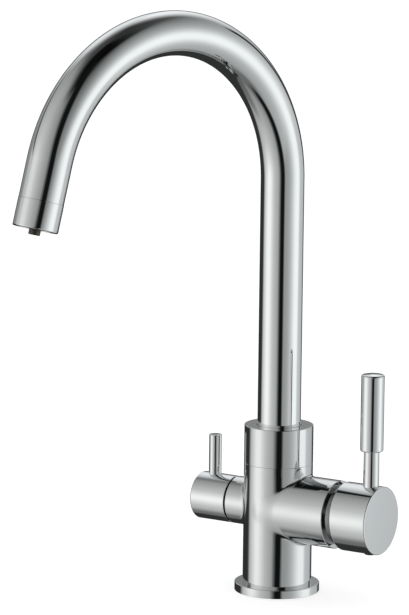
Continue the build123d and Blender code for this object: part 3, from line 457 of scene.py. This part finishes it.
def piece(name, bm, matrix, body, slot, nodes, skin=None, look=None):
    """Makes a finished shape a piece that rides on its body and stands for its CAD nodes."""
    bm.transform(matrix)
    mesh = bpy.data.meshes.new(name)
    bm.to_mesh(mesh)
    bm.free()
    mesh.shade_smooth()
    mesh.set_sharp_from_angle(angle=SHARP)
    mesh.materials.append(finish_of(look or slot))
    if skin:
        aim_normals(mesh, skin)
    made = bpy.data.objects.new(name, mesh)
    bpy.context.scene.collection.objects.link(made)
    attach(made, body)
    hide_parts(*nodes)
    if not skin:
        level = made.modifiers.new("level_shading", "WEIGHTED_NORMAL")
        level.mode, level.weight, level.keep_sharp = "FACE_AREA", 100, True
    return made


def merged_copy(name):
    """A copy of a CAD node's loose triangles, joined up, without its stored shading."""
    loose = frame["nodes"][name].data.copy()
    stored = loose.attributes.get("custom_normal")
    if stored:
        loose.attributes.remove(stored)
    bm = bmesh.new()
    bm.from_mesh(loose)
    bpy.data.meshes.remove(loose)
    bmesh.ops.remove_doubles(bm, verts=bm.verts[:], dist=SAME_POINT)
    return bm


def carved(bm, cutter):
    """Cuts one closed shape out of another."""
    objects = []
    for name, shape in (("carved", bm), ("cutter", cutter)):
        mesh = bpy.data.meshes.new(name)
        shape.to_mesh(mesh)
        shape.free()
        objects.append(bpy.data.objects.new(name, mesh))
        bpy.context.scene.collection.objects.link(objects[-1])
    cut = objects[0].modifiers.new("cut", "BOOLEAN")
    cut.operation, cut.solver, cut.object = "DIFFERENCE", "EXACT", objects[1]
    graph = bpy.context.evaluated_depsgraph_get()
    result = bmesh.new()
    result.from_mesh(objects[0].evaluated_get(graph).to_mesh())
    for made in objects:
        bpy.data.meshes.remove(made.data)
    return result


# ---- Studio ----

TO_DEGREES = 180 / pi
LIGHT_REACH = 90.0  # degrees from a light's centre at which its falloff ends
FILM_HEIGHT = 36.0  # of the camera, in millimetres


def worked(tree, operation, *values):
    """One step of arithmetic."""
    return node(tree, "ShaderNodeMath", dict(enumerate(values)), operation=operation).outputs[0]


def window(tree, source, stops):
    """Rises from the first stop to the second and falls from the third to the fourth."""
    edges = []
    for start, end in ((stops[0], stops[1]), (stops[3], stops[2])):
        edges.append(node(tree, "ShaderNodeMapRange", {
            "Value": source, "From Min": float(min(start, end)),
            "From Max": float(max(start, end)), "To Min": float(start > end),
            "To Max": float(start < end)}, interpolation_type="SMOOTHSTEP").outputs["Result"])
    return worked(tree, "MULTIPLY", *edges)


def blended(tree, mask, under, over):
    """One colour over another."""
    return node(tree, "ShaderNodeMixRGB", {"Fac": mask, "Color1": under,
                                           "Color2": over}).outputs["Color"]


def umbrella(tree, around, aloft, centre, squeeze, tint, falloff):
    """A big soft light that fades outwards from its centre."""
    across = worked(tree, "MULTIPLY", worked(tree, "SUBTRACT", around, centre[0]), squeeze)
    up = worked(tree, "SUBTRACT", aloft, centre[1])
    off = worked(tree, "SQRT", worked(tree, "ADD", worked(tree, "MULTIPLY", across, across),
                                      worked(tree, "MULTIPLY", up, up)))
    ramp = node(tree, "ShaderNodeValToRGB", {"Fac": worked(tree, "DIVIDE", off, LIGHT_REACH)})
    stops = ramp.color_ramp.elements
    while len(stops) < len(falloff):
        stops.new(0.5)
    for stop, (degrees, level) in zip(stops, falloff):
        stop.position = degrees / LIGHT_REACH
        stop.color = (*[level * part for part in tint], 1)
    return ramp.outputs["Color"]


# The two big soft lights. Each has its centre in degrees round from the camera to the right and
# in degrees up, how much it is squeezed sideways, its tint, and its falloff as pairs of degrees
# from the centre and light.
LEFT_LIGHT = (
    (-73.0, -4.0), 1.0, (0.98, 1.0, 0.985),
    ((0, 1.0), (10, 0.97), (19, 0.77), (31, 0.57), (45, 0.46), (58, 0.37), (67, 0.32),
     (76, 0.25), (84, 0.15)),
)
RIGHT_LIGHT = (
    (87.0, -10.0), 0.65, (0.965, 1.0, 0.995),
    ((0, 1.0), (7, 0.98), (14, 0.85), (20, 0.71), (27, 0.58), (34, 0.49), (42, 0.44),
     (52, 0.40), (60, 0.34), (70, 0.16)),
)
RIGHT_HALF = (-1, 3, 200, 201)  # stops round between which the right light shows
# Flags and cards in front of the two lights, from back to front. Each has its stops in degrees
# round from the camera to the right, its stops in degrees up, how far it leans (degrees round
# for each degree down), its light and how much of what is behind it is hidden.
CARDS = (
    # shade over the right light, and a dark ceiling over the left one
    ((1, 3, 200, 201), (10, 80, 90, 91), 0.0, (0.0, 0.0, 0.0), 0.8),
    ((-201, -200, -1, 3), (56, 80, 90, 91), 0.0, (0.05, 0.05, 0.05), 1.0),
    # pale card low on the far right, and shade low on the near right
    ((95, 110, 200, 201), (-30, -16, -4, 4), 0.0, (0.495, 0.52, 0.53), 0.75),
    ((8, 10, 20, 84), (-24, -14, -4, 4), 0.0, (0.0, 0.0, 0.0), 0.25),
    # pale wall behind, high up on both sides, and a grey card under it on the left
    ((-201, -200, -155, -122), (14, 26, 38, 72), 0.0, (0.82, 0.85, 0.86), 1.0),
    ((130, 178, 200, 201), (12, 24, 40, 72), 0.0, (0.95, 0.97, 0.98), 1.0),
    ((-201, -200, -128, -112), (-4, 4, 12, 20), 0.0, (0.25, 0.26, 0.26), 1.0),
    # two narrow leaning flags, behind on the left and on the right
    ((-94, -87, -75, -68), (11, 15, 30, 35), 1.95, (0.05, 0.05, 0.05), 0.9),
    ((140, 144, 151, 156), (-8, -4, 24, 30), 0.52, (0.01, 0.01, 0.01), 1.0),
    # dark floor on the left and behind, and dark cards low behind on both sides
    ((-201, -200, -108, -62), (-91, -90, -58, -42), 0.0, (0.12, 0.122, 0.122), 0.8),
    ((-201, -200, -114, -98), (-91, -90, -8, 2), -0.4, (0.03, 0.031, 0.031), 1.0),
    ((142, 160, 250, 251), (-91, -90, -8, 2), -0.4, (0.03, 0.031, 0.031), 1.0),
    ((-201, -200, -158, -145), (-91, -90, 4, 11), 0.0, (0.03, 0.031, 0.031), 1.0),
    ((145, 158, 200, 201), (-91, -90, 4, 11), 0.0, (0.03, 0.031, 0.031), 1.0),
    # black overhead, in front and on the right
    ((0, 60, 75, 95), (44, 56, 90, 91), 1.0, (0.004, 0.004, 0.004), 1.0),
    ((-12, 12, 50, 115), (50, 62, 90, 91), 0.0, (0.004, 0.004, 0.004), 1.0),
    # black gap between the two lights, below and above eye level, with shade beside it
    ((-22, -3, 8, 18), (-84, -62, 4, 14), 0.0, (0.006, 0.007, 0.007), 1.0),
    ((8, 12, 32, 82), (-4, 6, 60, 70), 0.0, (0.0, 0.0, 0.0), 0.5),
    ((-8, 10, 24, 34), (-1, 5, 60, 70), 0.0, (0.006, 0.007, 0.007), 1.0),
)


# ---- One operator for each piece or group of like pieces ----


class TAP_OT_foot(bpy.types.Operator):
    """Turn the base flange, with the groove for its seal"""

    bl_idname = "tap.foot"
    bl_label = "Base flange"

    def execute(self, context):
        tap = context.scene.tap_sizes
        outer, top = high("base_flange").x, high("base_flange").z
        groove, lip = high("base_seal").z, outer - tap.flange_lip
        bm = turned([(tap.flange_bore, 0, 0, 1), (tap.seal_groove, 0, 0, 1),
                     (tap.seal_groove, groove, 0, 1), (lip, groove, 0, 1), (lip, 0, 0, 1),
                     (outer, 0, tap.rim, 2), (outer, top, tap.edge, 4),
                     (tap.flange_bore, top, 0, 1)], tap.steps)
        piece("flange", bm, Matrix(), "tap_body", "chrome", ["base_flange"], look="cast_chrome")
        return {"FINISHED"}


class TAP_OT_body(bpy.types.Operator):
    """Polish the casting, so that the arms flow out of the body"""

    bl_idname = "tap.body"
    bl_label = "Body and arms"
    moves = 4  # times that a point is moved to the skin, nearer each time

    def execute(self, context):
        tap = context.scene.tap_sizes
        bm = merged_copy("body_casting")
        for step in range(-tap.cuts, tap.cuts + 1):
            place = tap.cut_reach * step / tap.cuts
            cut_across(bm, (0, 0, tap.arm_height + place), (0, 0, 1))
            cut_across(bm, (place, 0, 0), (1, 0, 0))
        skin = casting_skin(tap)
        for vert in bm.verts:
            off, way, flowing = skin(vert.co)
            if flowing and abs(off) < tap.skin_reach:
                for _ in range(self.moves):
                    vert.co -= way * off
                    off, way, flowing = skin(vert.co)
        bmesh.ops.triangulate(bm, faces=[face for face in bm.faces if len(face.verts) > 4])
        piece("body", bm, Matrix(), "tap_body", "chrome", ["body_casting"], skin,
              look="cast_chrome")
        return {"FINISHED"}


class TAP_OT_collar(bpy.types.Operator):
    """Turn the collar that holds the spout down"""

    bl_idname = "tap.collar"
    bl_label = "Spout collar"

    def execute(self, context):
        tap = context.scene.tap_sizes
        foot, top = low("spout_collar").z, high("spout_collar").z
        plate, neck = top - tap.collar_plate, tap.body_radius - tap.collar_wall
        hole = tap.tube_radius + tap.collar_gap
        bm = turned([(neck, foot, 0, 1), (tap.body_radius, foot, tap.seam, 2),
                     (tap.body_radius, top, tap.edge, 4), (hole, top, tap.rim, 3),
                     (hole, plate, 0, 1), (neck, plate, 0, 1)], tap.steps)
        piece("collar", bm, Matrix(), "tap_body", "chrome", ["spout_collar"], look="cast_chrome")
        return {"FINISHED"}


class TAP_OT_spout(bpy.types.Operator):
    """Draw the spout tube up its leg, round the bend and down to the sleeve"""

    bl_idname = "tap.spout"
    bl_label = "Spout tube"

    def execute(self, context):
        tap = context.scene.tap_sizes
        bm = bmesh.new()
        foot, start = low("spout_tube").z, bend_start(tap)
        bmesh.ops.create_circle(bm, segments=tap.medium_steps, radius=tap.tube_radius,
                                matrix=Matrix.Translation((0, 0, foot)))
        leg = bmesh.ops.extrude_edge_only(bm, edges=bm.edges[:])["geom"]
        ring = corners_of(leg)
        bmesh.ops.translate(bm, verts=ring, vec=(0, 0, start - foot))
        last = ring + [e for e in bm.edges if all(v in ring for v in e.verts)]
        bend = bmesh.ops.spin(bm, geom=last, cent=(tap.bend_radius, 0, start), axis=(0, 1, 0),
                              dvec=(0, 0, 0), angle=tap.bend_angle, steps=tap.bend_steps,
                              use_merge=False, use_duplicate=False)
        last = [e for e in bend["geom_last"] if isinstance(e, bmesh.types.BMEdge)]
        end = bmesh.ops.extrude_edge_only(bm, edges=last)["geom"]
        straight = Vector((sin(tap.bend_angle), 0, cos(tap.bend_angle))) * tap.tube_end
        bmesh.ops.translate(bm, verts=corners_of(end), vec=straight)
        thickened(bm, tap.tube_wall)
        piece("tube", bm, spout_line(tap), "spout", "chrome", ["spout_tube"])
        return {"FINISHED"}


class TAP_OT_outlet(bpy.types.Operator):
    """Turn the outlet sleeve and the dark nozzle of the filtered water"""

    bl_idname = "tap.outlet"
    bl_label = "Outlet"

    def execute(self, context):
        tap = context.scene.tap_sizes
        end, bore = tap.spout_end, tap.tube_radius - tap.tube_wall
        outer, lip = tap.tube_radius + tap.sleeve_step, bore - tap.sleeve_lip
        inside = end - tap.lip_height
        bm = turned([(bore, tap.tube_end, 0, 1), (outer, tap.tube_end, tap.rim, 2),
                     (outer, end, tap.sleeve_round, 6), (lip, end, tap.rim, 2),
                     (lip, inside, 0, 1), (bore, inside, 0, 1)], tap.steps)
        piece("sleeve", bm, outlet_line(tap), "spout", "chrome", ["outlet_sleeve"])
        start, mouth = end - tap.nozzle_depth, end + tap.nozzle_proud
        tail = start - tap.tail_length
        bm = turned([(tap.nozzle_bore, tail, 0, 1), (tap.tail_radius, tail, 0, 1),
                     (tap.tail_radius, start, 0, 1), (tap.nozzle_radius, start, 0, 1),
                     (tap.nozzle_radius, mouth, tap.edge, 3),
                     (tap.nozzle_bore, mouth, tap.rim, 2)], tap.small_steps)
        piece("nozzle", bm, outlet_line(tap), "spout", "nozzle_bronze", ["filtered_nozzle"])
        return {"FINISHED"}


class TAP_OT_dome(bpy.types.Operator):
    """Shape the dome that shows in the gap behind the mixer knob"""

    bl_idname = "tap.dome"
    bl_label = "Cartridge dome"

    def execute(self, context):
        tap = context.scene.tap_sizes
        foot, size = low("cartridge_dome").x, half("cartridge_dome")
        bm = bmesh.new()
        bmesh.ops.create_uvsphere(bm, u_segments=tap.steps, v_segments=tap.steps // 2,
                                  radius=size.z)
        cut_across(bm, (0, 0, 0), (0, 0, 1), clear_inner=True)
        cut_across(bm, (0, 0, 2 * size.x - tap.dome_skirt), (0, 0, 1), clear_outer=True)
        rim = [e for e in bm.edges if e.is_boundary and all(v.co.z < ON_RIM for v in e.verts)]
        down = bmesh.ops.extrude_edge_only(bm, edges=rim)["geom"]
        bmesh.ops.translate(bm, verts=corners_of(down), vec=(0, 0, -tap.dome_skirt))
        thickened(bm, tap.dome_wall)
        matrix = mixer_line(tap) @ Matrix.Translation((0, 0, foot + tap.dome_skirt))
        # The dome takes a darkened chrome look in place of its chrome slot, as painted shade in
        # the gap.
        piece("dome", bm, matrix, "tap_body", "chrome", ["cartridge_dome"], look="dull_chrome")
        return {"FINISHED"}


class TAP_OT_mixer_knob(bpy.types.Operator):
    """Turn the mixer knob, slant its rim and bore the hole for its screw plug"""

    bl_idname = "tap.mixer_knob"
    bl_label = "Mixer knob and screw plug"

    def execute(self, context):
        tap = context.scene.tap_sizes
        radius, end = tap.knob_radius, high("mixer_knob").x
        slant = tan(tap.knob_lean)
        rim = low("mixer_knob").x + radius * slant
        floor, bore = rim + tap.knob_depth, radius - tap.knob_wall
        bm = turned([(0, end, 0, 1), (radius, end, tap.knob_round, 5),
                     (radius, rim, tap.knob_rim, 8), (bore, rim, tap.rim, 3),
                     (bore, floor, tap.edge, 2), (0, floor, 0, 1)], tap.knob_steps, closed=False)
        # the rim slants, so that the gap is wider at the bottom
        near_rim = [v for v in bm.verts if v.co.z < rim + tap.knob_rim + ON_RIM]
        shear = Matrix.Identity(4)
        shear[2][0] = -slant
        bmesh.ops.transform(bm, matrix=shear, verts=near_rim)
        bm.transform(mixer_line(tap))
        plug = "knob_screw_plug"
        foot, top = low(plug).z, high(plug).z
        below = foot - OVERSHOOT
        hole = turned([(0, below, 0, 1), (tap.plug_radius, below, 0, 1),
                       (tap.plug_radius, top, 0, 1), (0, top, 0, 1)], tap.medium_steps,
                      closed=False)
        hole.transform(in_line_with("mixer_lever_grip"))
        skin = round_bar((0, 0, tap.arm_height), (1, 0, 0), radius)
        piece("knob", carved(bm, hole), Matrix(), "mixer_handle", "chrome", ["mixer_knob"], skin)
        thick = half(plug).x
        bm = turned([(0, foot, 0, 1), (thick, foot, tap.rim, 3), (thick, top, 0, 1),
                     (0, top, 0, 1)], tap.small_steps, closed=False)
        piece("screw_plug", bm, in_line_with("mixer_lever_grip"), "mixer_handle",
              "black_plastic", [plug])
        return {"FINISHED"}


class TAP_OT_mixer_lever(bpy.types.Operator):
    """Turn the stem and the grip of the mixer lever"""

    bl_idname = "tap.mixer_lever"
    bl_label = "Mixer lever"
    crown = (0.84, 0.68, 0.52, 0.36, 0.18, 0.0)  # the crown's rings, as parts of its radius

    def execute(self, context):
        tap = context.scene.tap_sizes
        place = in_line_with("mixer_lever_grip")
        foot, top = low("mixer_lever_grip").z, high("mixer_lever_grip").z
        radius = half("mixer_lever_grip").x
        sunk = tap.arm_height + tap.knob_radius - tap.lever_depth
        bm = turned([(0, sunk, 0, 1), (tap.stem_foot, sunk, 0, 1), (tap.stem_top, foot, 0, 1),
                     (0, foot, 0, 1)], tap.medium_steps, closed=False)
        piece("lever_stem", bm, place, "mixer_handle", "chrome", ["mixer_lever_stem"])
        rings = [(radius * part, top - tap.grip_crown * part * part, 0, 1)
                 for part in self.crown]
        bm = turned([(0, foot, 0, 1), (radius, foot, tap.grip_foot, 6),
                     (radius, top - tap.grip_crown, tap.grip_top, 6), *rings],
                    tap.medium_steps, closed=False)
        piece("lever_grip", bm, place, "mixer_handle", "chrome", ["mixer_lever_grip"])
        return {"FINISHED"}


class TAP_OT_filter_knob(bpy.types.Operator):
    """Turn the filter knob and its pin lever"""

    bl_idname = "tap.filter_knob"
    bl_label = "Filter knob and pin lever"

    def execute(self, context):
        tap = context.scene.tap_sizes
        end, rim = -low("filter_knob").x, -high("filter_knob").x
        radius, bore = tap.filter_radius, tap.filter_radius - tap.knob_wall
        floor = rim + tap.filter_depth
        bm = turned([(0, end, 0, 1), (radius, end, tap.filter_round, 8),
                     (radius, rim, tap.rim, 3), (bore, rim, tap.rim, 3),
                     (bore, floor, tap.edge, 2), (0, floor, 0, 1)], tap.steps, closed=False)
        piece("filter_knob_shell", bm, filter_line(tap), "filter_handle", "chrome",
              ["filter_knob"])
        thick, top = half("filter_pin_lever").x, high("filter_pin_lever").z
        sunk = tap.arm_height + radius - tap.lever_depth
        bm = turned([(0, sunk, 0, 1), (thick, sunk, 0, 1), (thick, top, tap.edge, 4),
                     (0, top, 0, 1)], tap.medium_steps, closed=False)
        piece("pin_lever", bm, in_line_with("filter_pin_lever"), "filter_handle", "chrome",
              ["filter_pin_lever"])
        return {"FINISHED"}


class TAP_OT_inner_pieces(bpy.types.Operator):
    """Give every CAD node the finish of its slot"""

    bl_idname = "tap.inner_pieces"
    bl_label = "Inner pieces"

    def execute(self, context):
        slots = {part["node"]: part["material_slot"] for part in frame["record"]["subparts"]}
        for name, made in frame["nodes"].items():
            for place in made.material_slots:
                place.material = finish_of(slots[name])
        return {"FINISHED"}


class TAP_OT_stage(bpy.types.Operator):
    """Set up the floor, the white room and the camera"""

    bl_idname = "tap.stage"
    bl_label = "Studio"

    def execute(self, context):
        studio = context.scene.tap_studio
        self.floor(studio)
        self.room(context.scene, studio)
        self.camera(context.scene, studio)
        context.scene.view_settings.view_transform = "Standard"
        return {"FINISHED"}

    def floor(self, studio):
        bm = bmesh.new()
        bmesh.ops.create_circle(bm, cap_ends=True, segments=64, radius=studio.floor_radius)
        mesh = bpy.data.meshes.new("floor")
        bm.to_mesh(mesh)
        bm.free()
        material = bpy.data.materials.new("floor_white")
        material.use_nodes = True
        tree = material.node_tree
        tree.nodes.clear()
        paint = node(tree, "ShaderNodeBsdfDiffuse", {"Color": (*studio.floor_paint, 1)})
        seen = node(tree, "ShaderNodeLightPath").outputs["Is Camera Ray"]
        level = node(tree, "ShaderNodeMath", {0: seen, 1: studio.floor_glow},
                     operation="MULTIPLY").outputs["Value"]
        glow = node(tree, "ShaderNodeEmission", {"Strength": level})
        both = node(tree, "ShaderNodeAddShader", {0: paint.outputs["BSDF"],
                                                  1: glow.outputs["Emission"]})
        node(tree, "ShaderNodeOutputMaterial", {"Surface": both.outputs["Shader"]})
        mesh.materials.append(material)
        made = bpy.data.objects.new("floor", mesh)
        bpy.context.scene.collection.objects.link(made)
        made.visible_glossy = False

    def room(self, scene, studio):
        """What the polished pieces reflect: soft boxes and dark flags in a grey room."""
        world = bpy.data.worlds.new("studio_room")
        scene.world = world
        world.use_nodes = True
        tree = world.node_tree
        tree.nodes.clear()
        way = node(tree, "ShaderNodeTexCoord").outputs["Generated"]
        way = node(tree, "ShaderNodeVectorRotate", {"Vector": way, "Angle": -studio.azimuth},
                   rotation_type="Z_AXIS").outputs["Vector"]
        way = node(tree, "ShaderNodeSeparateXYZ", {"Vector": way}).outputs
        around = worked(tree, "ARCTAN2", way["X"], worked(tree, "MULTIPLY", way["Y"], -1.0))
        around = worked(tree, "MULTIPLY", around, TO_DEGREES)
        aloft = worked(tree, "ARCSINE", way["Z"])
        aloft = worked(tree, "MULTIPLY", aloft, TO_DEGREES)
        left = umbrella(tree, around, aloft, *LEFT_LIGHT)
        right = umbrella(tree, around, aloft, *RIGHT_LIGHT)
        halves = window(tree, around, RIGHT_HALF)
        pattern = blended(tree, halves, left, right)
        for across, up, lean, shade, hidden in CARDS:
            leant = worked(tree, "MULTIPLY_ADD", aloft, lean, around)
            mask = worked(tree, "MULTIPLY", window(tree, leant, across),
                          window(tree, aloft, up))
            mask = worked(tree, "MULTIPLY", mask, hidden)
            pattern = blended(tree, mask, pattern, (*shade, 1))
        rays = node(tree, "ShaderNodeLightPath").outputs
        even = (*[studio.surround] * 3, 1)
        light = blended(tree, rays["Is Glossy Ray"], even, pattern)
        light = blended(tree, rays["Is Camera Ray"], light, (1, 1, 1, 1))
        glow = node(tree, "ShaderNodeBackground", {"Color": light, "Strength": 1.0})
        node(tree, "ShaderNodeOutputWorld", {"Surface": glow.outputs["Background"]})

    def camera(self, scene, studio):
        turn = studio.azimuth
        place = Vector((sin(turn) * studio.distance, -cos(turn) * studio.distance, studio.height))
        heading = studio.azimuth + studio.yaw
        ahead = Vector((-sin(heading) * cos(studio.pitch), cos(heading) * cos(studio.pitch),
                        -sin(studio.pitch)))
        right = Vector((cos(heading), sin(heading), 0))
        upward = right.cross(ahead)
        across = right * cos(studio.roll) + upward * sin(studio.roll)
        over = upward * cos(studio.roll) - right * sin(studio.roll)
        data = bpy.data.cameras.new("camera")
        data.sensor_fit, data.sensor_height = "VERTICAL", FILM_HEIGHT
        data.lens = studio.focal
        data.clip_end = studio.far
        made = bpy.data.objects.new("camera", data)
        made.matrix_world = (Matrix.Translation(place)
                             @ Matrix((across, over, -ahead)).transposed().to_4x4())
        scene.collection.objects.link(made)
        scene.camera = made


class TAP_PT_panel(bpy.types.Panel):
    """Lists the steps that dress the tap"""

    bl_label = "Three way tap"
    bl_idname = "TAP_PT_panel"
    bl_space_type = "VIEW_3D"
    bl_region_type = "UI"
    bl_category = "Tap"

    def draw(self, context):
        for step in STEPS:
            self.layout.operator(step.bl_idname)


STEPS = (TAP_OT_foot, TAP_OT_body, TAP_OT_collar, TAP_OT_spout, TAP_OT_outlet, TAP_OT_dome,
         TAP_OT_mixer_knob, TAP_OT_mixer_lever, TAP_OT_filter_knob, TAP_OT_inner_pieces,
         TAP_OT_stage)
CLASSES = (TapSizes, TapFinish, TapStudio, *STEPS, TAP_PT_panel)


def register():
    for cls in CLASSES:
        bpy.utils.register_class(cls)
    bpy.types.Scene.tap_sizes = PointerProperty(type=TapSizes)
    bpy.types.Scene.tap_finish = PointerProperty(type=TapFinish)
    bpy.types.Scene.tap_studio = PointerProperty(type=TapStudio)


def unregister():
    del bpy.types.Scene.tap_studio
    del bpy.types.Scene.tap_finish
    del bpy.types.Scene.tap_sizes
    for cls in reversed(CLASSES):
        bpy.utils.unregister_class(cls)


def main():
    register()
    for step in STEPS:
        group, name = step.bl_idname.split(".")
        getattr(getattr(bpy.ops, group), name)()


if __name__ == "__main__":
    main()
